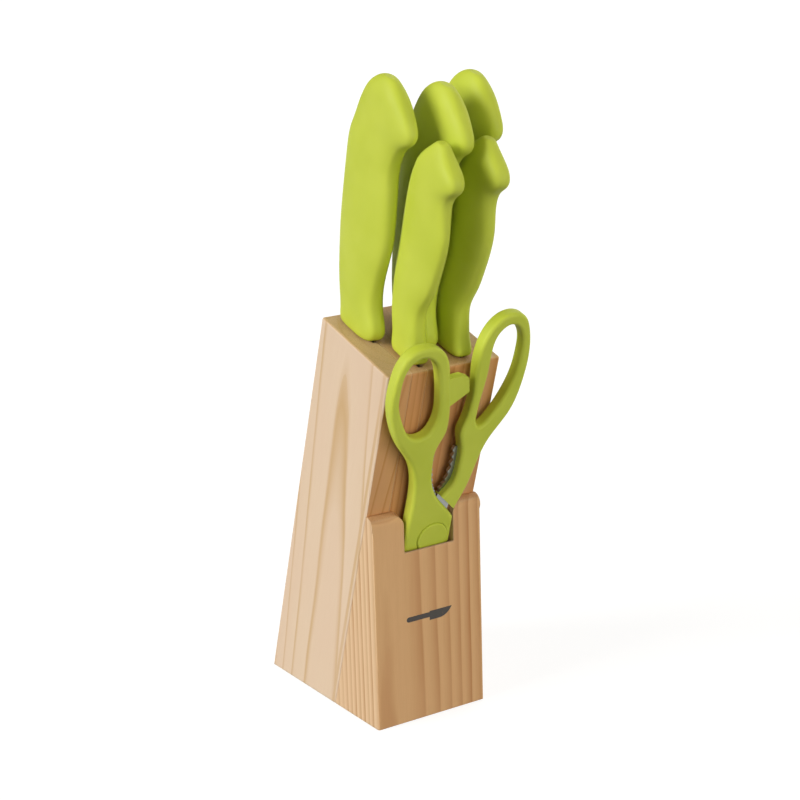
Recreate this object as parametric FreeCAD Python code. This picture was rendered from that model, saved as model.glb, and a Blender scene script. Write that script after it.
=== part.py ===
import FreeCAD, Part
import math
import os
from FreeCAD import Vector

# Knife block with five knives and a pair of kitchen scissors.
# Millimetres, +Z up. The origin is the middle of the block's flat base, and the front faces -Y.

# ---- Driving dimensions of the block ----
BLOCK_WIDTH = 70.0
BASE_DEPTH = 115.2
LEAN_DEG = 18.0            # the body leans forward by this much
BODY_THICKNESS = 66.8      # across the lean
BODY_LENGTH = 212.4        # along the lean, from the base to the top front edge
EDGE_ROUND = 1.2

# ---- Wedge glued under the overhang ----
WEDGE_HEIGHT = 120.8
WEDGE_TOP_ROUND = 6.0
WEDGE_TOP_PULL = 0.8       # under 1 fills the rounded top out toward the front
CHANNEL_LEFT = -15.0
CHANNEL_RIGHT = 16.8
CHANNEL_DEPTH = 12.4       # measured square to the lean
CHANNEL_FLOOR = 20.0       # height along the lean
CHANNEL_CORNER = 6.0
CHANNEL_FLARE = 5.5

# ---- Knives ----
BLADE_THICKNESS = 2.0
EDGE_THICKNESS = 0.4
SLOT_WIDTH = 3.0
SLOT_END_GAP = 1.5         # free room at each end of a slot's mouth
SLOT_FLOOR_GAP = 4.0
REST_GAP = 0.4             # between a handle's underside and the block's top
SPINE_INSETS = {"large": 3.0, "small": 2.0}   # from where the handle starts to the blade's spine
TANG_INSET = 4.0           # from where the handle starts to its tang
TANGS = {"large": (70.0, 14.0), "small": (59.5, 9.8)}   # length and width

# Blade outlines, as shares of the blade's width and length.
SPINE_STRAIGHT = 0.62
SPINE_BOW = (0.28, 0.84)   # across, as a share of the tip's drop, and along
EDGE_STRAIGHT = 0.58
BELLY_BOW = (0.52, 0.42, 0.87)   # across, with its change for each unit of drop, and along
GRIND_START = 0.35         # where the V grind begins, across the blade

# Scallops along the bread knife's edge.
SCALLOP_PITCH = 7.0
SCALLOP_RADIUS = 6.0
SCALLOP_DEPTH = 1.2
SCALLOPED_SHARE = 0.56     # of the blade's length

# Each knife's place across the block, where its handle starts behind the top face's
# back edge, and its blade. The drop is how far the tip lies below the spine.
KNIVES = [
    dict(name="carving", across=-21.9, start=1.2, size="large", length=200.0, width=27.0, drop=0.30),
    dict(name="chef", across=1.4, start=16.6, size="large", length=200.0, width=39.0, drop=0.50),
    dict(name="bread", across=26.2, start=6.2, size="large", length=200.0, width=28.0, drop=0.25),
    dict(name="utility", across=-12.2, start=38.0, size="small", length=125.0, width=21.0, drop=0.45),
    dict(name="paring", across=14.9, start=38.4, size="small", length=90.0, width=19.0, drop=0.60),
]
SCALLOPED = "bread"

# Handle stations, from the underside up: height, back, front, half thickness,
# squareness of the section (2 is an ellipse). Back and front are measured
# forward from the place where the handle's underside starts.
HANDLES = {
    "large": [
        (0.0, 3.2, 29.0, 5.2, 3.4),
        (2.0, 1.6, 33.0, 6.5, 3.4),
        (7.0, 0.0, 34.0, 6.6, 3.2),
        (14.0, -2.5, 31.0, 6.7, 2.9),
        (24.0, -5.8, 28.2, 7.2, 2.6),
        (38.0, -9.5, 29.0, 7.7, 2.3),
        (52.0, -12.3, 31.0, 8.0, 2.2),
        (68.0, -14.0, 30.2, 8.0, 2.2),
        (84.0, -15.0, 27.6, 7.8, 2.3),
        (94.0, -15.2, 26.2, 7.6, 2.5),
        (103.0, -14.6, 27.6, 7.3, 2.7),
        (109.0, -13.4, 31.4, 6.9, 2.6),
        (113.5, -12.4, 36.2, 6.8, 2.5),
        (118.0, -11.2, 37.4, 6.8, 2.5),
        (124.0, -9.0, 34.0, 6.6, 2.5),
        (130.2, -5.6, 28.0, 6.3, 2.5),
        (135.0, -1.4, 22.0, 5.2, 2.3),
        (137.8, 2.6, 17.4, 3.8, 2.1),
        (139.2, 6.4, 13.4, 2.2, 2.0),
    ],
    "small": [
        (0.0, 2.4, 21.0, 4.8, 3.4),
        (2.0, 0.8, 24.6, 6.0, 3.4),
        (8.0, -0.6, 22.4, 6.0, 3.1),
        (16.0, -3.2, 19.4, 6.1, 2.8),
        (26.0, -6.0, 18.0, 6.3, 2.5),
        (38.0, -8.0, 22.2, 6.7, 2.2),
        (50.0, -8.8, 25.4, 6.7, 2.1),
        (62.0, -8.8, 27.4, 6.7, 2.1),
        (76.0, -8.8, 27.2, 6.7, 2.1),
        (88.0, -8.0, 24.6, 6.6, 2.3),
        (95.5, -6.6, 26.2, 6.7, 2.6),
        (101.0, -5.2, 30.4, 6.6, 2.8),
        (106.0, -3.4, 29.8, 6.4, 2.8),
        (111.5, 0.4, 24.0, 5.6, 2.6),
        (116.8, 5.8, 17.6, 4.0, 2.3),
        (119.3, 9.2, 13.4, 2.0, 2.0),
    ],
}
SECTION_POINTS = 20

# ---- Scissors, in the plane in front of the lean ----
PIVOT_ACROSS = 3.2
PIVOT_UP = 111.0           # along the lean, from the base
SCISSOR_BACK = 2.7         # the handles' rear faces, in front of the lean face
SCISSOR_FRONT = 10.4
SHEET = 1.9                # steel thickness
BLADE_PLAY = 0.06          # between the two steel halves
BACK_SHEET = 4.0           # the rear steel half's rear face
FRONT_SHEET = BACK_SHEET + SHEET + BLADE_PLAY
HANDLE_ROUND = 2.1
THICK_FROM = 25.0          # above this the left handle is full thickness
SKIRT = -12.6              # and left of this, all the way down
STEEL_COVER = 1.8          # plastic over each side of the steel and the lug
RIVET_INSET = 0.2
PIVOT_RADIUS = 3.0
PIVOT_CLEARANCE = 0.05
CAP_RADIUS = 9.4
CAP_HEIGHT = 1.0
CAP_ROUND = 0.8
CAP_SEAT = 1.4
CAP_GROOVE = 0.3

OVERCUT = 1.0              # how far cutting tools run past what they cut
FAR = 40.0                 # outside the scissors on every side

LEAN = math.radians(LEAN_DEG)
HALF_WIDTH = BLOCK_WIDTH / 2.0
BODY_BASE_DEPTH = BODY_THICKNESS / math.cos(LEAN)
BASE_FRONT = -BASE_DEPTH / 2.0
BASE_BACK = BASE_DEPTH / 2.0
LEAN_FOOT = BASE_BACK - BODY_BASE_DEPTH   # where the lean face meets the base
FORWARD = Vector(0.0, -math.cos(LEAN), -math.sin(LEAN))
UPWARD = Vector(0.0, -math.sin(LEAN), math.cos(LEAN))
ACROSS = Vector(1.0, 0.0, 0.0)
HANDLE_LEVEL = BODY_LENGTH + REST_GAP


def lean_point(across, forward, up):
    """A point given across, forward of the lean face and up along it."""
    foot = Vector(0.0, LEAN_FOOT, 0.0)
    return foot + ACROSS * across + FORWARD * forward + UPWARD * up


def lean_box(across, forward, up):
    """A box whose three sides are given as (low, high) pairs in the lean's frame."""
    corners = [
        lean_point(across[0], forward[0], up[0]),
        lean_point(across[0], forward[1], up[0]),
        lean_point(across[0], forward[1], up[1]),
        lean_point(across[0], forward[0], up[1]),
    ]
    face = Part.Face(Part.makePolygon(corners + corners[:1]))
    return face.extrude(ACROSS * (across[1] - across[0]))


def spline(points, closed=False):
    """A smooth curve through the points."""
    curve = Part.BSplineCurve()
    curve.interpolate(Points=points, PeriodicFlag=closed)
    return curve.toShape()


def arc(start, middle, end):
    """A circular arc through three points."""
    return Part.Arc(start, middle, end).toShape()


def line(start, end):
    """A straight edge."""
    return Part.makeLine(start, end)


def save(name, shape):
    """Write one node, as a single solid, to its STEP file."""
    solids = shape.Solids
    if len(solids) != 1:
        raise ValueError(name + " has " + str(len(solids)) + " solids")
    solids[0].exportStep("parts/" + name + ".step")


# ---- Block ----

def body_envelope():
    """The leaning body in one piece, with its outer edges eased."""
    top_front = lean_point(0.0, 0.0, BODY_LENGTH)
    top_back = lean_point(0.0, -BODY_THICKNESS, BODY_LENGTH)
    outline = [
        Vector(-HALF_WIDTH, LEAN_FOOT, 0.0),
        Vector(-HALF_WIDTH, top_front.y, top_front.z),
        Vector(-HALF_WIDTH, top_back.y, top_back.z),
        Vector(-HALF_WIDTH, BASE_BACK, 0.0),
    ]
    face = Part.Face(Part.makePolygon(outline + outline[:1]))
    body = face.extrude(ACROSS * BLOCK_WIDTH)
    eased = [edge for edge in body.Edges if edge.BoundBox.ZMax > EDGE_ROUND]
    return body.makeFillet(EDGE_ROUND, eased)


def spine_place(knife):
    """How far forward of the lean face a blade's spine lies."""
    return knife["start"] + SPINE_INSETS[knife["size"]] - BODY_THICKNESS


def slot_cutter(knife):
    """The room milled for one blade, open at the top."""
    half = SLOT_WIDTH / 2.0
    back = spine_place(knife)
    floor = BODY_LENGTH - knife["length"] - SLOT_FLOOR_GAP
    return lean_box(
        (knife["across"] - half, knife["across"] + half),
        (back - SLOT_END_GAP, back + knife["width"] + SLOT_END_GAP),
        (floor, BODY_LENGTH + OVERCUT),
    )


def build_boards():
    """The glued boards: each joint lies on one side of a slot, milled before gluing."""
    body = body_envelope()
    ordered = sorted(KNIVES, key=lambda knife: knife["across"])
    joints = [knife["across"] + SLOT_WIDTH / 2.0 for knife in ordered]
    edges = [-HALF_WIDTH] + joints + [HALF_WIDTH]
    names = ["cheek_left", "board_2", "board_3", "board_4", "board_5", "cheek_right"]
    for index, name in enumerate(names):
        low = Vector(edges[index], -BASE_DEPTH, -OVERCUT)
        thickness = edges[index + 1] - edges[index]
        slab = Part.makeBox(thickness, 3.0 * BASE_DEPTH, 2.0 * BODY_LENGTH, low)
        board = body.common(slab)
        if index < len(ordered):
            board = board.cut(slot_cutter(ordered[index]))
        save(name, board)


def channel_cutter():
    """The scissors' channel: a routed groove in the wedge's back, flared at its mouth."""
    left = CHANNEL_LEFT
    right = CHANNEL_RIGHT
    low = CHANNEL_FLOOR
    mouth = WEDGE_HEIGHT / math.cos(LEAN)
    radius = CHANNEL_CORNER
    corner = radius * (1.0 - math.sqrt(0.5))
    flare = CHANNEL_FLARE
    bend = flare * (1.0 - math.sqrt(0.5))
    above = mouth + 2.0 * flare

    def at(across, up):
        return lean_point(across, -OVERCUT, up)

    edges = [
        arc(at(left, low + radius), at(left + corner, low + corner), at(left + radius, low)),
        line(at(left + radius, low), at(right - radius, low)),
        arc(at(right - radius, low), at(right - corner, low + corner), at(right, low + radius)),
        line(at(right, low + radius), at(right, mouth - flare)),
        arc(at(right, mouth - flare), at(right + bend, mouth - bend), at(right + flare, mouth)),
        line(at(right + flare, mouth), at(right + flare, above)),
        line(at(right + flare, above), at(left - flare, above)),
        line(at(left - flare, above), at(left - flare, mouth)),
        arc(at(left - flare, mouth), at(left - bend, mouth - bend), at(left, mouth - flare)),
        line(at(left, mouth - flare), at(left, low + radius)),
    ]
    face = Part.Face(Part.Wire(edges))
    return face.extrude(FORWARD * (CHANNEL_DEPTH + OVERCUT))


def build_wedge():
    """The wedge under the overhang, with an upright front and a rounded top."""
    left = -HALF_WIDTH
    top_back = LEAN_FOOT - WEDGE_HEIGHT * math.tan(LEAN)
    round_start = WEDGE_HEIGHT - WEDGE_TOP_ROUND
    bend = WEDGE_TOP_ROUND * (1.0 - math.sqrt(0.5))
    foot_back = Vector(left, LEAN_FOOT, 0.0)
    foot_front = Vector(left, BASE_FRONT, 0.0)
    front_high = Vector(left, BASE_FRONT, round_start)
    round_middle = Vector(left, BASE_FRONT + bend * WEDGE_TOP_PULL, WEDGE_HEIGHT - bend)
    crest = Vector(left, top_back, WEDGE_HEIGHT)
    edges = [
        line(foot_back, foot_front),
        line(foot_front, front_high),
        arc(front_high, round_middle, crest),
        line(crest, foot_back),
    ]
    wedge = Part.Face(Part.Wire(edges)).extrude(ACROSS * BLOCK_WIDTH)
    upright = [
        edge for edge in wedge.Edges
        if abs(edge.BoundBox.YMin - BASE_FRONT) < 0.01
        and edge.BoundBox.YLength < 0.01
        and edge.BoundBox.ZLength > EDGE_ROUND
    ]
    wedge = wedge.makeFillet(EDGE_ROUND, upright)
    save("front_wedge", wedge.cut(channel_cutter()))


# ---- Knives ----

def handle_section(across, start, station):
    """One closed section of a handle, square to the lean."""
    height, back, front, half, power = station
    middle = start - BODY_THICKNESS + (back + front) / 2.0
    reach = (front - back) / 2.0
    points = []
    for index in range(SECTION_POINTS):
        turn = 2.0 * math.pi * index / SECTION_POINTS
        cosine = math.cos(turn)
        sine = math.sin(turn)
        forward = math.copysign(abs(cosine) ** (2.0 / power), cosine) * reach
        sideways = math.copysign(abs(sine) ** (2.0 / power), sine) * half
        points.append(lean_point(across + sideways, middle + forward, HANDLE_LEVEL + height))
    return Part.Wire([spline(points, closed=True)])


def tang(knife):
    """The strip of the blade that runs up inside the handle."""
    half = BLADE_THICKNESS / 2.0
    length, width = TANGS[knife["size"]]
    back = knife["start"] - BODY_THICKNESS + TANG_INSET
    return lean_box(
        (knife["across"] - half, knife["across"] + half),
        (back, back + width),
        (BODY_LENGTH, HANDLE_LEVEL + length),
    )


def blade_sheet(knife):
    """The blade's side outline, from the heel down to the tip, as a full sheet."""
    side = knife["across"] - BLADE_THICKNESS / 2.0
    back = spine_place(knife)
    drop = knife["drop"]

    def at(forward, down):
        return lean_point(side, back + forward * knife["width"], BODY_LENGTH - down * knife["length"])

    spine_bow = at(SPINE_BOW[0] * drop, SPINE_BOW[1])
    belly_bow = at(BELLY_BOW[0] + BELLY_BOW[1] * drop, BELLY_BOW[2])
    edges = [
        line(at(0.0, 0.0), at(0.0, SPINE_STRAIGHT)),
        arc(at(0.0, SPINE_STRAIGHT), spine_bow, at(drop, 1.0)),
        arc(at(drop, 1.0), belly_bow, at(1.0, EDGE_STRAIGHT)),
        line(at(1.0, EDGE_STRAIGHT), at(1.0, 0.0)),
        line(at(1.0, 0.0), at(0.0, 0.0)),
    ]
    return Part.Face(Part.Wire(edges)).extrude(ACROSS * BLADE_THICKNESS)


def blade_grind(knife):
    """The V-ground envelope: full thickness at the spine, thin at the edge."""
    across = knife["across"]
    back = spine_place(knife)
    front = back + knife["width"]
    grind = back + GRIND_START * knife["width"]
    thick = BLADE_THICKNESS / 2.0
    thin = EDGE_THICKNESS / 2.0
    low = BODY_LENGTH - knife["length"] - OVERCUT
    corners = [
        lean_point(across - thick, back, low),
        lean_point(across + thick, back, low),
        lean_point(across + thick, grind, low),
        lean_point(across + thin, front, low),
        lean_point(across - thin, front, low),
        lean_point(across - thick, grind, low),
    ]
    face = Part.Face(Part.makePolygon(corners + corners[:1]))
    return face.extrude(UPWARD * (knife["length"] + OVERCUT))


def scallops(knife):
    """Round bites along the edge of the bread knife."""
    side = knife["across"] - BLADE_THICKNESS
    edge = spine_place(knife) + knife["width"]
    centre = edge + SCALLOP_RADIUS - SCALLOP_DEPTH
    count = int(SCALLOPED_SHARE * knife["length"] / SCALLOP_PITCH)
    bites = []
    for index in range(count):
        low = lean_point(side, centre, BODY_LENGTH - SCALLOP_PITCH * (index + 1))
        bites.append(Part.makeCylinder(SCALLOP_RADIUS, 2.0 * BLADE_THICKNESS, low, ACROSS))
    return Part.Compound(bites)


def build_knife(knife):
    """One knife: a steel blade with its tang, and a moulded handle around the tang."""
    stations = HANDLES[knife["size"]]
    sections = [handle_section(knife["across"], knife["start"], station) for station in stations]
    handle = Part.makeLoft(sections, True, False)
    blade = blade_sheet(knife).common(blade_grind(knife))
    if knife["name"] == SCALLOPED:
        blade = blade.cut(scallops(knife))
    shank = tang(knife)
    save(knife["name"] + "_handle", handle.cut(shank))
    save(knife["name"] + "_blade", blade.fuse(shank).removeSplitter())


# ---- Scissors ----

def scissor_point(across, up, forward):
    """A point given from the scissors' pivot, at a distance forward of the lean face."""
    return lean_point(PIVOT_ACROSS + across, forward, PIVOT_UP + up)


def scissor_wire(pieces, forward):
    """A closed outline from pieces; each is a list of points, and over two make a spline."""
    edges = []
    for piece in pieces:
        points = [scissor_point(across, up, forward) for across, up in piece]
        edges.append(spline(points) if len(points) > 2 else line(points[0], points[1]))
    return Part.Wire(edges)


def scissor_ring(points, forward):
    """A closed smooth outline, such as a finger loop's opening."""
    return Part.Wire([spline([scissor_point(across, up, forward) for across, up in points], closed=True)])


def scissor_slab(points, low, high):
    """A straight-sided prism between two distances forward of the lean face."""
    corners = [scissor_point(across, up, low) for across, up in points]
    face = Part.Face(Part.makePolygon(corners + corners[:1]))
    return face.extrude(FORWARD * (high - low))


def teeth(course, count, bite):
    """Saw points along a course of (across, up) points; a positive bite goes to +X."""
    points = []
    spans = len(course) - 1
    for index in range(count + 1):
        place = min(index * spans / count, spans - 1e-6)
        span = int(place)
        share = place - span
        start = course[span]
        end = course[span + 1]
        across = start[0] + (end[0] - start[0]) * share
        up = start[1] + (end[1] - start[1]) * share
        points.append((across + (bite if index % 2 else 0.0), up))
    return points


def rims(body):
    """The edges of a prism's two flat faces."""
    flat = [face for face in body.Faces if abs(abs(face.normalAt(0, 0).dot(FORWARD)) - 1.0) < 0.001]
    return [edge for face in flat for edge in face.Edges]


def is_on(edge, shape):
    """Whether an edge's middle lies on a shape's surface."""
    middle = edge.valueAt((edge.FirstParameter + edge.LastParameter) / 2.0)
    return Part.Vertex(middle).distToShape(shape.Shells[0])[0] < 0.001


def moulded_half(outline, opening):
    """One scissors handle in full thickness, with its outer and inner edges rounded."""
    thickness = FORWARD * (SCISSOR_FRONT - SCISSOR_BACK)
    body = Part.Face(scissor_wire(outline, SCISSOR_BACK)).extrude(thickness)
    body = body.makeFillet(HANDLE_ROUND, rims(body))
    hole = Part.Face(scissor_ring(opening, SCISSOR_BACK)).extrude(thickness)
    body = body.cut(hole)
    inner = [edge for edge in rims(body) if is_on(edge, hole)]
    return body.makeFillet(HANDLE_ROUND, inner)


def front_handle():
    """The left finger loop with the hub that covers the pivot."""
    outline = [
        [(-17.0, -4.0), (-16.8, 13.4), (-16.6, 26.4), (-17.8, 39.4), (-21.4, 49.9), (-30.2, 62.4),
         (-37.7, 77.4), (-40.9, 91.0), (-40.4, 103.0), (-37.6, 113.4), (-31.6, 120.0), (-24.0, 121.4),
         (-15.8, 119.6), (-9.6, 113.0), (-6.2, 101.0), (-3.6, 88.0), (-2.0, 75.0), (-2.8, 66.0),
         (-6.4, 58.4), (-7.2, 46.8), (-4.8, 33.6), (-0.4, 25.5), (6.6, 17.4), (12.2, 10.5)],
        [(12.2, 10.5), (12.4, -4.0)],
        [(12.4, -4.0), (9.6, -10.6), (3.0, -13.4)],
        [(3.0, -13.4), (-7.6, -13.4)],
        [(-7.6, -13.4), (-14.2, -10.6), (-17.0, -4.0)],
    ]
    opening = [(-35.8, 93.4), (-35.4, 103.4), (-32.7, 111.4), (-26.2, 115.6), (-18.6, 112.6),
               (-13.4, 102.0), (-10.6, 88.0), (-10.4, 75.6), (-15.6, 67.6), (-22.6, 67.4), (-30.6, 76.6)]
    body = moulded_half(outline, opening)
    lug = [(-6.5, 99.4), (2.0, 100.2), (6.8, 98.0), (8.6, 89.2), (-4.0, 81.6)]
    body = body.fuse(scissor_slab(lug, SCISSOR_BACK + STEEL_COVER, SCISSOR_FRONT - STEEL_COVER))
    behind = [(SKIRT, THICK_FROM), (FAR, THICK_FROM), (FAR, -FAR), (SKIRT, -FAR)]
    body = body.cut(scissor_slab(behind, 0.0, FRONT_SHEET + SHEET))
    return body.removeSplitter()


def back_handle():
    """The right finger loop, with the thin plate that runs down behind the pivot."""
    outline = [
        [(-9.0, 0.0), (-6.2, 12.0), (1.3, 24.5), (7.6, 31.6), (10.0, 45.0), (9.2, 55.6), (7.2, 64.4),
         (9.0, 71.4), (10.8, 81.6), (11.0, 91.0), (9.9, 101.4), (10.3, 114.0), (13.9, 124.6),
         (20.4, 131.2), (28.7, 133.0), (36.0, 129.8), (40.4, 121.6), (43.0, 107.9), (42.1, 89.7),
         (37.2, 72.4), (26.4, 56.4), (21.6, 42.6), (17.6, 28.0), (13.2, 18.0), (9.0, 0.0)],
        [(9.0, 0.0), (6.36, -6.36), (0.0, -9.0), (-6.36, -6.36), (-9.0, 0.0)],
    ]
    opening = [(15.8, 71.6), (16.4, 84.0), (18.0, 99.0), (18.2, 113.0), (21.0, 122.4), (27.6, 126.2),
               (34.2, 121.6), (37.2, 108.0), (35.8, 94.0), (30.8, 81.0), (24.4, 71.0), (18.4, 66.8)]
    body = moulded_half(outline, opening)
    before = [(0.1, 27.5), (11.4, 16.0), (FAR, -13.1), (FAR, -FAR), (-1.5 * FAR, -FAR), (-28.7, 57.3)]
    body = body.cut(scissor_slab(before, BACK_SHEET, SCISSOR_FRONT + OVERCUT))
    relief = [(7.4, -12.0), (7.4, 2.0), (12.4, 17.0), (16.0, 17.0), (16.0, -12.0)]
    body = body.cut(scissor_slab(relief, 0.0, BACK_SHEET + OVERCUT))
    return body.removeSplitter()


def steel_sheet(outline, low):
    """One flat steel half, cut from sheet."""
    return scissor_slab(outline, low, low + SHEET)


def front_steel():
    """The blade that belongs to the left loop, with its tang and fine teeth."""
    tip = CHANNEL_FLOOR + REST_GAP - PIVOT_UP
    saw = teeth([(-0.9, 26.0), (-4.7, 34.0), (-7.0, 46.8), (-6.8, 56.0)], 22, 0.8)
    outline = [(-14.0, 56.0), (-14.2, 40.0), (-13.0, 14.0), (-9.8, -8.0), (-7.2, -16.0),
               (-3.4, 0.86 * tip), (-1.0, tip), (1.4, 0.98 * tip), (8.0, 0.55 * tip),
               (9.6, -10.0), (10.0, 2.0), (5.0, 15.0)] + saw
    return steel_sheet(outline, FRONT_SHEET)


def back_steel():
    """The blade that belongs to the right loop, with its tang and the nutcracker teeth."""
    tip = CHANNEL_FLOOR + REST_GAP - PIVOT_UP
    saw = teeth([(8.2, 54.0), (8.6, 44.0), (6.4, 33.0), (3.0, 27.0)], 14, -1.4)
    outline = [(14.0, 54.0), (12.4, 24.0), (8.0, 4.0), (7.0, -14.0), (3.4, 0.86 * tip), (1.2, tip),
               (-1.2, 0.98 * tip), (-7.4, 0.55 * tip), (-9.4, -8.0), (-7.4, 2.0), (-3.0, 12.0)]
    return steel_sheet(outline + saw[::-1], BACK_SHEET)


def pivot_cylinder(radius, low, high):
    """A cylinder on the pivot's axis, between two distances forward of the lean face."""
    return Part.makeCylinder(radius, high - low, scissor_point(0.0, 0.0, low), FORWARD)


def build_scissors():
    """Two steel halves, two moulded handles, the rivet and the cap that hides it."""
    front_blade = front_steel()
    back_blade = back_steel()
    through = pivot_cylinder(PIVOT_RADIUS, 0.0, 2.0 * SCISSOR_FRONT)
    running = pivot_cylinder(PIVOT_RADIUS + PIVOT_CLEARANCE, 0.0, BACK_SHEET + SHEET + BLADE_PLAY / 2.0)
    seat = SCISSOR_FRONT - CAP_SEAT
    cap = pivot_cylinder(CAP_RADIUS, seat, SCISSOR_FRONT + CAP_HEIGHT)
    crown = max(rims(cap), key=lambda edge: edge.CenterOfMass.dot(FORWARD))
    cap = cap.makeFillet(CAP_ROUND, [crown])
    front = front_handle().cut(front_blade).cut(through)
    front = front.cut(pivot_cylinder(CAP_RADIUS + CAP_GROOVE, seat, 2.0 * SCISSOR_FRONT))
    back = back_handle().cut(back_blade).cut(running)
    save("scissors_front_handle", front)
    save("scissors_front_blade", front_blade.cut(through))
    save("scissors_back_handle", back)
    save("scissors_back_blade", back_blade.cut(running))
    save("scissors_rivet", pivot_cylinder(PIVOT_RADIUS, SCISSOR_BACK + RIVET_INSET, seat))
    save("scissors_cap", cap)


def main():
    os.makedirs("parts", exist_ok=True)
    build_boards()
    build_wedge()
    for knife in KNIVES:
        build_knife(knife)
    build_scissors()


main()
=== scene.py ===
import math

import bmesh
import bpy
from mathutils import Matrix, Vector


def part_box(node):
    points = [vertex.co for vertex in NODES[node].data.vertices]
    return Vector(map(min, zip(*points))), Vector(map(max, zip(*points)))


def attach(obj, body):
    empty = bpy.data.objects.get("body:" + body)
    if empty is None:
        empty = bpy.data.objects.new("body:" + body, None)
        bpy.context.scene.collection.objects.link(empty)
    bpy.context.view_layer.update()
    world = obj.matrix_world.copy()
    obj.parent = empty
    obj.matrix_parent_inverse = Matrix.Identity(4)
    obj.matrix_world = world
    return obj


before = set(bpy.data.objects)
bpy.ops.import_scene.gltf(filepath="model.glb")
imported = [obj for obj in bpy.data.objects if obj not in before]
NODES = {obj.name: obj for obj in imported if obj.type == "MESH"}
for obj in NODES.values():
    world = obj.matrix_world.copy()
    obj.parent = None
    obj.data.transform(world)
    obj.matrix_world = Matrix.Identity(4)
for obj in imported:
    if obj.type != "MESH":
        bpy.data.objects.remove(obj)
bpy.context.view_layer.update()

MM_PER_METRE = 1000.0

# The block's shape, in millimetres.
LEAN = math.radians(18.0)
LEAN_FOOT = -12.64         # where the leaning front's plane meets the ground
WEDGE_FRONT = -57.6        # the wedge's upright face
SCISSORS_MIDDLE = 6.55     # the scissors' middle plane, forward of the leaning front
CHEEK_DARK_LINE = -9.0     # a dark growth line near the left cheek's front edge

# The plain mark on the wedge, in millimetres across and up.
MARK_LEFT = -15.0
MARK_RIGHT = 15.0
MARK_HEIGHT = 59.0
MARK_HEEL = 0.0            # where the blade ends and the handle starts
MARK_LIFT = 0.01           # keeps the print's back off the wood
MARK_THICKNESS = 0.04

# How fine the patterns are along each axis, per millimetre. A small number gives a long streak.
RING_BEND = (0.030, 0.030, 0.008)
RING_WAVER = (0.12, 0.12, 0.022)
FIBRE = (3.2, 3.2, 0.07)
STREAK = (0.45, 0.45, 0.006)
CLOUD = (0.03, 0.03, 0.012)
PRINT_WEAR = (2.6, 2.6, 0.25)
BLADE_STROKES = (0.15, 0.15, 2.4)
SCISSORS_STROKES = (4.0, 4.0, 0.35)

# The eased edges and the depth of the fine relief, in metres.
EDGE_EASE = 0.0011
WOOD_RELIEF = 0.00012
PLASTIC_RELIEF = 0.00006
STEEL_RELIEF = 0.00003
PRINT_RELIEF = 0.00005

# Linear colours.
CHEEK_EARLY = (0.79, 0.61, 0.435)
CHEEK_LATE = (0.60, 0.38, 0.165)
# Painted shade: a colour multiplied into the leaning boards' faces that turn to the front.
LEAN_FRONT_PAINTED_SHADE = (0.79, 0.54, 0.32)
BOARD_EARLY = (0.79, 0.57, 0.37)
BOARD_LATE = (0.52, 0.29, 0.12)
WEDGE_EARLY = (0.80, 0.57, 0.335)
WEDGE_LATE = (0.49, 0.235, 0.085)
# Painted shade: a colour multiplied into the wedge's faces that turn to the front.
WEDGE_FRONT_PAINTED_SHADE = (0.89, 0.75, 0.59)
GREEN = (0.58, 0.655, 0.064)
GREEN_DEEP = (0.53, 0.61, 0.048)
STEEL = (0.34, 0.35, 0.35)
INK = (0.035, 0.028, 0.022)

# The camera: its place in metres, its angles in degrees and its lens in millimetres.
CAMERA_PLACE = (-0.54682, -0.88086, 0.45411)
CAMERA_AROUND = -32.86
CAMERA_DOWN = 15.48
CAMERA_ROLL = -1.706
CAMERA_LENS = 87.58

# Each lamp: name, strength, spread, angle round from the front, angle above the floor, colour.
LAMPS = (
    ("key", 2.75, 34.0, -98.0, 22.0, (1.0, 1.0, 1.0)),
    ("front_fill", 2.8, 60.0, 8.0, 1.0, (1.0, 0.99, 0.94)),
    ("side_fill", 1.35, 70.0, 112.0, 28.0, (1.0, 0.98, 0.94)),
)

# The floor, and the faint light of the surroundings below and above.
FLOOR_RADIUS = 14.0
FLOOR_GREY = 0.30
FLOOR_GLOW = 0.82
WORLD_WARMTH = (1.0, 0.93, 0.84)
WORLD_BELOW = 0.07
WORLD_ABOVE = 0.17


# ---- Small helpers for building node trees ----

def new_material(name):
    """An empty node material and its surface shader."""
    material = bpy.data.materials.new(name)
    material.use_nodes = True
    shader = material.node_tree.nodes["Principled BSDF"]
    return material, material.node_tree, shader


def add(tree, kind, inputs=None, **settings):
    """A new node with its settings, and each input set to a value or linked to an output."""
    node = tree.nodes.new(kind)
    for name, value in settings.items():
        setattr(node, name, value)
    for name, value in (inputs or {}).items():
        socket = node.inputs[name]
        if isinstance(value, bpy.types.NodeSocket):
            tree.links.new(value, socket)
        else:
            socket.default_value = value
    return node


def calc(tree, operation, first, second=0.0, clamp=False):
    """The result of one sum."""
    node = add(tree, "ShaderNodeMath", {0: first, 1: second}, operation=operation, use_clamp=clamp)
    return node.outputs[0]


def smooth(tree, value, low, high, to_low=0.0, to_high=1.0):
    """The value carried smoothly from one range to another."""
    node = add(
        tree, "ShaderNodeMapRange",
        {"Value": value, "From Min": low, "From Max": high, "To Min": to_low, "To Max": to_high},
        interpolation_type="SMOOTHSTEP",
    )
    return node.outputs["Result"]


def blend(tree, share, first, second, mode="MIX"):
    """Two colours mixed by a share."""
    node = add(tree, "ShaderNodeMix", {"Factor": share}, data_type="RGBA", blend_type=mode)
    for socket, value in ((node.inputs[6], first), (node.inputs[7], second)):
        if isinstance(value, bpy.types.NodeSocket):
            tree.links.new(value, socket)
        else:
            socket.default_value = (*value, 1.0)
    return node.outputs[2]


def ramp(tree, value, stops):
    """A grey ramp through (place, brightness) stops."""
    node = add(tree, "ShaderNodeValToRGB", {"Fac": value})
    elements = node.color_ramp.elements
    while len(elements) < len(stops):
        elements.new(0.5)
    for element, (place, level) in zip(elements, stops):
        element.position = place
        element.color = (level, level, level, 1.0)
    return node.outputs["Color"]


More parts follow.
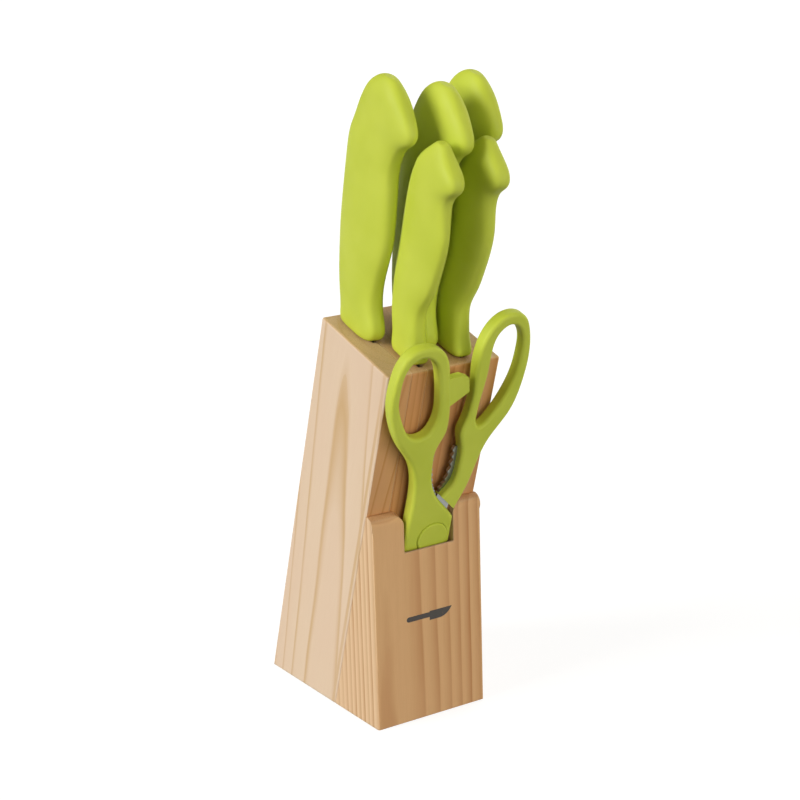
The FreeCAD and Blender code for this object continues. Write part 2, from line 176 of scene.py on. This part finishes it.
def millimetres(tree, turn=0.0):
    """The object's own coordinates in millimetres, turned about X."""
    place = add(tree, "ShaderNodeTexCoord").outputs["Object"]
    node = add(
        tree, "ShaderNodeMapping",
        {"Vector": place, "Rotation": (turn, 0.0, 0.0), "Scale": (MM_PER_METRE,) * 3},
        vector_type="POINT",
    )
    return node.outputs["Vector"]


def stretched(tree, place, scale):
    """Coordinates scaled by a different amount along each axis."""
    node = add(tree, "ShaderNodeVectorMath", {0: place, 1: scale}, operation="MULTIPLY")
    return node.outputs["Vector"]


def noise(tree, place, scale, detail=2.0, roughness=0.5, offset=0.0):
    """Smooth noise from 0 to 1; the offset picks another part of it."""
    inputs = {"Vector": place, "W": offset, "Scale": scale, "Detail": detail, "Roughness": roughness}
    return add(tree, "ShaderNodeTexNoise", inputs, noise_dimensions="4D").outputs["Fac"]


def centred(tree, value, reach):
    """Noise from 0 to 1 turned into an offset about zero."""
    return calc(tree, "MULTIPLY", calc(tree, "SUBTRACT", value, 0.5), 2.0 * reach)


def eased_edges(tree, radius, low, high):
    """1 on the eased edges of a shape and 0 on its flats, and the rounded normal."""
    rounded = add(tree, "ShaderNodeBevel", {"Radius": radius}, samples=6).outputs["Normal"]
    flat = add(tree, "ShaderNodeNewGeometry").outputs["Normal"]
    along = add(tree, "ShaderNodeVectorMath", {0: rounded, 1: flat}, operation="DOT_PRODUCT")
    turned = calc(tree, "SUBTRACT", 1.0, along.outputs["Value"])
    return smooth(tree, turned, low, high), rounded


# ---- Pine ----

def ring_distance(tree, place, pith, drift, taper, wander, seed):
    """Distance from the tree's heart, which a board's grain lines follow."""
    axes = add(tree, "ShaderNodeSeparateXYZ", {"Vector": place})
    across = calc(tree, "SUBTRACT", axes.outputs["X"], pith[0])
    slide = calc(tree, "MULTIPLY_ADD", axes.outputs["Z"], drift)
    slide.node.inputs[2].default_value = pith[1]
    forward = calc(tree, "SUBTRACT", axes.outputs["Y"], slide)
    square = calc(tree, "ADD", calc(tree, "POWER", across, 2.0), calc(tree, "POWER", forward, 2.0))
    radius = calc(tree, "SQRT", square)
    rise = calc(tree, "MULTIPLY", axes.outputs["Z"], taper)
    slow = noise(tree, stretched(tree, place, RING_BEND), 1.0, 2.0, 0.5, seed)
    fine = noise(tree, stretched(tree, place, RING_WAVER), 1.0, 1.0, 0.5, seed + 3.7)
    bent = calc(tree, "ADD", centred(tree, slow, wander), centred(tree, fine, 0.16 * wander))
    return calc(tree, "ADD", calc(tree, "ADD", radius, rise), bent)


def latewood(tree, radius, ring, early_share, seed):
    """How dark each point is: rising after the early share, then a sharp end at every ring."""
    count = calc(tree, "DIVIDE", radius, ring)
    age = calc(tree, "FRACT", count)
    year = calc(tree, "ADD", calc(tree, "FLOOR", count), seed)
    strength = add(tree, "ShaderNodeTexWhiteNoise", {"W": year}, noise_dimensions="1D").outputs["Value"]
    darkest = 0.95
    middle = 0.5 * (early_share + darkest)
    stops = [(0.0, 0.40), (0.05, 0.0), (early_share, 0.06), (middle, 0.45), (darkest, 1.0), (1.0, 0.60)]
    shape = ramp(tree, age, stops)
    return calc(tree, "MULTIPLY", shape, smooth(tree, strength, 0.0, 1.0, 0.55, 1.0))


def facing(tree, direction):
    """How squarely each face of the object is turned toward a direction."""
    normal = add(tree, "ShaderNodeTexCoord").outputs["Normal"]
    along = add(tree, "ShaderNodeVectorMath", {0: normal, 1: direction}, operation="DOT_PRODUCT")
    return along.outputs["Value"]


def end_grain(tree, grain_axis):
    """1 where a face cuts across the grain, and 0 along it."""
    return smooth(tree, calc(tree, "ABSOLUTE", facing(tree, grain_axis)), 0.40, 0.80)


def pine(
    name, early, late, pith, ring, turn=0.0,
    drift=0.0, taper=0.0, wander=1.6, early_share=0.35, streaks=0.10,
    front_painted_shade=LEAN_FRONT_PAINTED_SHADE, seed=0.0, dark_line=None,
):
    """Satin pine with rings round the given heart and its grain along the turned Z axis.

    The heart and the ring width are in millimetres. The front painted shade darkens the faces turned
    to the front: shade painted into their colour. The dark line is the place, from front to back, of
    one more line along the grain.
    """
    material, tree, shader = new_material(name)
    place = millimetres(tree, turn)
    radius = ring_distance(tree, place, pith, drift, taper, wander, seed)
    late_share = latewood(tree, radius, ring, early_share, seed)
    if dark_line is not None:
        forward = add(tree, "ShaderNodeSeparateXYZ", {"Vector": place}).outputs["Y"]
        offset = calc(tree, "ABSOLUTE", calc(tree, "SUBTRACT", forward, dark_line))
        late_share = calc(tree, "MAXIMUM", late_share, smooth(tree, offset, 0.5, 1.9, 0.75, 0.0))

    fibre = noise(tree, stretched(tree, place, FIBRE), 1.0, 3.0, 0.6, seed + 11.0)
    streak = noise(tree, stretched(tree, place, STREAK), 1.0, 2.0, 0.55, seed + 23.0)
    cloud = noise(tree, stretched(tree, place, CLOUD), 1.0, 2.0, 0.5, seed + 31.0)

    share = calc(tree, "ADD", late_share, centred(tree, streak, streaks), clamp=True)
    colour = blend(tree, share, early, late)
    colour = blend(tree, smooth(tree, fibre, 0.25, 0.8, 0.0, 0.16), colour, late)
    warm = (0.96 * early[0], 0.90 * early[1], 0.90 * early[2])
    colour = blend(tree, smooth(tree, cloud, 0.35, 0.75, 0.0, 0.45), colour, warm)

    # Painted shade: faces turned to the front are multiplied by a darker colour.
    front = smooth(tree, facing(tree, (0.0, -1.0, 0.0)), 0.75, 0.92)
    colour = blend(tree, front, colour, front_painted_shade, "MULTIPLY")

    cut = end_grain(tree, (0.0, math.sin(turn), math.cos(turn)))
    pores = noise(tree, place, 2.4, 2.0, 0.6, seed + 5.0)
    cut_late = tuple(0.45 * level for level in late)
    cut_colour = blend(tree, 0.72, colour, late)
    cut_colour = blend(tree, smooth(tree, pores, 0.45, 0.75, 0.0, 0.45), cut_colour, cut_late)
    colour = blend(tree, cut, colour, cut_colour)

    # Painted highlight: the eased edges are blended toward a paler colour.
    highlit_edges, rounded = eased_edges(tree, EDGE_EASE, 0.02, 0.22)
    painted_edge_highlight = tuple(min(1.0, 1.12 * level) for level in early)
    colour = blend(tree, calc(tree, "MULTIPLY", highlit_edges, 0.35), colour, painted_edge_highlight)

    tree.links.new(colour, shader.inputs["Base Color"])
    rough = smooth(tree, late_share, 0.0, 1.0, 0.62, 0.50)
    rough = calc(tree, "ADD", rough, centred(tree, fibre, 0.07))
    tree.links.new(rough, shader.inputs["Roughness"])
    shader.inputs["Specular IOR Level"].default_value = 0.32
    relief = calc(tree, "ADD", calc(tree, "MULTIPLY", fibre, 0.6), calc(tree, "MULTIPLY", late_share, 0.5))
    relief = calc(tree, "ADD", relief, calc(tree, "MULTIPLY", calc(tree, "MULTIPLY", pores, cut), 1.4))
    bump = add(
        tree, "ShaderNodeBump",
        {"Height": relief, "Strength": 0.35, "Distance": WOOD_RELIEF, "Normal": rounded},
    )
    tree.links.new(bump.outputs["Normal"], shader.inputs["Normal"])
    return material


# ---- Green plastic ----

def soft_plastic(name, seam_axis, seam_at, turn=0.0):
    """Soft-touch moulded plastic with a faint parting line where its two mould halves met."""
    material, tree, shader = new_material(name)
    place = millimetres(tree, turn)
    cloud = noise(tree, place, 0.035, 2.0)
    grain = noise(tree, place, 3.0, 3.0, 0.65)
    handled = noise(tree, place, 0.11, 4.0, 0.6, 4.0)

    axes = add(tree, "ShaderNodeSeparateXYZ", {"Vector": place})
    offset = calc(tree, "ABSOLUTE", calc(tree, "SUBTRACT", axes.outputs[seam_axis], seam_at))
    seam = smooth(tree, offset, 0.05, 0.28, 1.0, 0.0)

    colour = blend(tree, smooth(tree, cloud, 0.3, 0.7), GREEN, GREEN_DEEP)
    light = tuple(min(1.0, level + 0.05) for level in GREEN)
    colour = blend(tree, smooth(tree, grain, 0.55, 0.8, 0.0, 0.20), colour, light)
    colour = blend(tree, calc(tree, "MULTIPLY", seam, 0.18), colour, GREEN_DEEP)
    tree.links.new(colour, shader.inputs["Base Color"])

    rough = calc(tree, "ADD", smooth(tree, handled, 0.35, 0.75, 0.54, 0.62), centred(tree, grain, 0.05))
    tree.links.new(rough, shader.inputs["Roughness"])
    shader.inputs["Specular IOR Level"].default_value = 0.30
    shader.inputs["Subsurface Weight"].default_value = 0.12
    shader.inputs["Subsurface Radius"].default_value = (0.9, 1.0, 0.25)
    shader.inputs["Subsurface Scale"].default_value = 0.0025

    relief = calc(tree, "SUBTRACT", calc(tree, "MULTIPLY", grain, 0.5), seam)
    bump = add(tree, "ShaderNodeBump", {"Height": relief, "Strength": 0.30, "Distance": PLASTIC_RELIEF})
    tree.links.new(bump.outputs["Normal"], shader.inputs["Normal"])
    return material


# ---- Steel ----

def brushed_steel(name, tint, strokes, roughness, turn=0.0):
    """Stainless steel with fine brush strokes; strokes gives their fineness along each axis."""
    material, tree, shader = new_material(name)
    place = millimetres(tree, turn)
    stroke = noise(tree, stretched(tree, place, strokes), 1.0, 3.0, 0.6)
    smudge = noise(tree, place, 0.05, 3.0, 0.6, 2.0)
    dark = tuple(0.86 * level for level in tint)
    colour = blend(tree, smooth(tree, stroke, 0.3, 0.7), dark, tint)
    tree.links.new(colour, shader.inputs["Base Color"])
    shader.inputs["Metallic"].default_value = 1.0
    shader.inputs["Anisotropic"].default_value = 0.35
    worn = smooth(tree, smudge, 0.3, 0.8, roughness, roughness + 0.10)
    rough = calc(tree, "ADD", centred(tree, stroke, 0.05), worn)
    tree.links.new(rough, shader.inputs["Roughness"])
    bump = add(tree, "ShaderNodeBump", {"Height": stroke, "Strength": 0.10, "Distance": STEEL_RELIEF})
    tree.links.new(bump.outputs["Normal"], shader.inputs["Normal"])
    return material


def printed_ink(name):
    """Dark print that has sunk a little into the grain."""
    material, tree, shader = new_material(name)
    place = millimetres(tree)
    worn = noise(tree, stretched(tree, place, PRINT_WEAR), 1.0, 3.0, 0.6)
    colour = blend(tree, smooth(tree, worn, 0.60, 0.80, 0.0, 0.35), INK, WEDGE_LATE)
    tree.links.new(colour, shader.inputs["Base Color"])
    tree.links.new(smooth(tree, worn, 0.2, 0.8, 0.45, 0.65), shader.inputs["Roughness"])
    bump = add(tree, "ShaderNodeBump", {"Height": worn, "Strength": 0.3, "Distance": PRINT_RELIEF})
    tree.links.new(bump.outputs["Normal"], shader.inputs["Normal"])
    return material


# ---- Finishes for the CAD nodes ----

def paint(node, material):
    """Give a CAD node one material."""
    if not NODES[node].material_slots:
        NODES[node].data.materials.append(material)
    for slot in NODES[node].material_slots:
        slot.link = "OBJECT"
        slot.material = material


def paint_wood():
    """Each glued board was cut from another plank, so each has rings of its own."""
    lean = -LEAN
    cheek_left = pine(
        "pine_cheek_left", CHEEK_EARLY, CHEEK_LATE, (11.0, 5.2), 6.14,
        lean, drift=0.0986, taper=0.0155, wander=0.9, early_share=0.78, streaks=0.035, seed=1.0,
        dark_line=CHEEK_DARK_LINE,
    )
    paint("cheek_left", cheek_left)
    boards = [
        ("board_2", (-90.0, 10.0), 3.6, 2.0),
        ("board_3", (70.0, -20.0), 4.4, 3.0),
        ("board_4", (-60.0, 60.0), 4.0, 4.0),
        ("board_5", (110.0, 40.0), 3.8, 5.0),
    ]
    for name, pith, ring, seed in boards:
        wood = pine(
            "pine_" + name, BOARD_EARLY, BOARD_LATE, pith, ring,
            lean, taper=0.01, wander=1.2, seed=seed,
        )
        paint(name, wood)
    cheek_right = pine(
        "pine_cheek_right", CHEEK_EARLY, CHEEK_LATE, (-20.0, 40.0), 5.5,
        lean, taper=0.01, wander=1.2, seed=6.0,
    )
    paint("cheek_right", cheek_right)
    wedge = pine(
        "pine_wedge", WEDGE_EARLY, WEDGE_LATE, (-28.0, 2.4), 4.3,
        taper=0.004, wander=0.9, early_share=0.30, front_painted_shade=WEDGE_FRONT_PAINTED_SHADE, seed=7.0,
    )
    paint("front_wedge", wedge)


def paint_knives():
    """Every handle has its parting line down its own middle."""
    steel = brushed_steel("steel_blade", STEEL, BLADE_STROKES, 0.26, -LEAN)
    for knife in ("carving", "chef", "bread", "utility", "paring"):
        low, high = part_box(knife + "_handle")
        middle = 0.5 * MM_PER_METRE * (low.x + high.x)
        paint(knife + "_handle", soft_plastic("plastic_" + knife, "X", middle))
        paint(knife + "_blade", steel)


def paint_scissors():
    """The handles' mould halves met in a plane parallel to the lean face."""
    foot = LEAN_FOOT * math.cos(LEAN)
    plastic = soft_plastic("plastic_scissors", "Y", foot - SCISSORS_MIDDLE, -LEAN)
    for node in ("scissors_front_handle", "scissors_back_handle", "scissors_cap"):
        paint(node, plastic)
    steel = brushed_steel("steel_scissors", STEEL, SCISSORS_STROKES, 0.27, -LEAN)
    for node in ("scissors_front_blade", "scissors_back_blade", "scissors_rivet"):
        paint(node, steel)


# ---- The plain mark printed on the wedge ----

def arc_points(centre, radius, start, end, count):
    """Points along an arc, with angles in degrees."""
    points = []
    for index in range(count + 1):
        angle = math.radians(start + (end - start) * index / count)
        points.append((centre[0] + radius * math.cos(angle), centre[1] + radius * math.sin(angle)))
    return points


def knife_mark():
    """A small plain picture of a knife, as a thin print on the wedge's front."""
    height = MARK_HEIGHT
    belly = MARK_RIGHT - 9.0
    # From the heel along the edge to the tip, back along the spine, and round the handle's end.
    outline = [(MARK_HEEL, height - 1.4), (MARK_HEEL, height - 3.2), (belly, height - 3.2)]
    outline += arc_points((belly, height + 6.4), 9.6, 270.0, 328.0, 8)[1:]
    outline += [(MARK_RIGHT - 0.4, height + 2.0), (MARK_HEEL, height + 2.0), (MARK_HEEL, height + 1.5)]
    outline += arc_points((MARK_LEFT + 1.5, height + 0.05), 1.45, 90.0, 270.0, 8)
    mesh = bpy.data.meshes.new("knife_mark")
    shape = bmesh.new()
    forward = (WEDGE_FRONT - MARK_LIFT) / MM_PER_METRE
    corners = []
    for across, up in outline:
        corners.append(shape.verts.new((across / MM_PER_METRE, forward, up / MM_PER_METRE)))
    face = shape.faces.new(corners)
    print_layer = bmesh.ops.extrude_face_region(shape, geom=[face])
    raised = [part for part in print_layer["geom"] if isinstance(part, bmesh.types.BMVert)]
    bmesh.ops.translate(shape, verts=raised, vec=(0.0, -MARK_THICKNESS / MM_PER_METRE, 0.0))
    bmesh.ops.recalc_face_normals(shape, faces=shape.faces)
    shape.to_mesh(mesh)
    shape.free()
    mark = bpy.data.objects.new("knife_mark", mesh)
    bpy.context.scene.collection.objects.link(mark)
    mesh.materials.append(printed_ink("ink"))
    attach(mark, "block")


# ---- Stage, light and camera ----

def build_floor():
    """A plain pale floor that runs past the edge of every view."""
    mesh = bpy.data.meshes.new("floor")
    shape = bmesh.new()
    bmesh.ops.create_circle(shape, cap_ends=True, segments=96, radius=FLOOR_RADIUS)
    shape.to_mesh(mesh)
    shape.free()
    floor = bpy.data.objects.new("floor", mesh)
    bpy.context.scene.collection.objects.link(floor)
    material, tree, shader = new_material("floor_pale")
    shader.inputs["Base Color"].default_value = (FLOOR_GREY, FLOOR_GREY, FLOOR_GREY, 1.0)
    shader.inputs["Roughness"].default_value = 0.9
    shader.inputs["Specular IOR Level"].default_value = 0.1
    shader.inputs["Emission Color"].default_value = (1.0, 1.0, 1.0, 1.0)
    shader.inputs["Emission Strength"].default_value = FLOOR_GLOW
    mesh.materials.append(material)
    floor.visible_diffuse = False


def build_world():
    """Soft warm light from above and a little from below, and plain white to the eye."""
    world = bpy.data.worlds.new("studio")
    bpy.context.scene.world = world
    world.use_nodes = True
    tree = world.node_tree
    background = tree.nodes["Background"]
    direction = add(tree, "ShaderNodeTexCoord").outputs["Generated"]
    height = add(tree, "ShaderNodeSeparateXYZ", {"Vector": direction}).outputs["Z"]
    glow = smooth(tree, height, -0.3, 0.3, WORLD_BELOW, WORLD_ABOVE)
    seen = add(tree, "ShaderNodeLightPath").outputs["Is Camera Ray"]
    tree.links.new(blend(tree, seen, WORLD_WARMTH, (1.0, 1.0, 1.0)), background.inputs["Color"])
    unseen = calc(tree, "MULTIPLY", glow, calc(tree, "SUBTRACT", 1.0, seen))
    tree.links.new(calc(tree, "ADD", unseen, seen), background.inputs["Strength"])


def backward(around, above):
    """The direction from the object toward a viewer or a lamp; around is zero at the front."""
    level = math.cos(above)
    return Vector((math.sin(around) * level, -math.cos(around) * level, math.sin(above)))


def build_lamp(name, strength, spread, azimuth, elevation, colour):
    """A broad soft lamp, far off, shining from the given direction."""
    data = bpy.data.lights.new(name, "SUN")
    data.energy = strength
    data.color = colour
    data.angle = math.radians(spread)
    lamp = bpy.data.objects.new(name, data)
    bpy.context.scene.collection.objects.link(lamp)
    back = backward(math.radians(azimuth), math.radians(elevation))
    lamp.rotation_mode = "QUATERNION"
    lamp.rotation_quaternion = (-back).to_track_quat("-Z", "Y")


def build_camera():
    """The photograph's viewpoint: to the front left, looking slightly down, and tilted a little."""
    around = math.radians(CAMERA_AROUND)
    down = math.radians(CAMERA_DOWN)
    roll = math.radians(CAMERA_ROLL)
    back = backward(around, down)
    level = (-back).cross(Vector((0.0, 0.0, 1.0))).normalized()
    upright = level.cross(-back)
    right = level * math.cos(roll) + upright * math.sin(roll)
    upper = upright * math.cos(roll) - level * math.sin(roll)
    data = bpy.data.cameras.new("camera")
    data.sensor_width = 36.0
    data.lens = CAMERA_LENS
    camera = bpy.data.objects.new("camera", data)
    bpy.context.scene.collection.objects.link(camera)
    turn = Matrix((right, upper, back)).transposed().to_4x4()
    camera.matrix_world = Matrix.Translation(CAMERA_PLACE) @ turn
    bpy.context.scene.camera = camera


def main():
    """The finishes, the mark and the studio, in the order they are needed."""
    paint_wood()
    paint_knives()
    paint_scissors()
    knife_mark()
    build_floor()
    build_world()
    for lamp in LAMPS:
        build_lamp(*lamp)
    build_camera()
    bpy.context.scene.view_settings.view_transform = "Standard"


main()
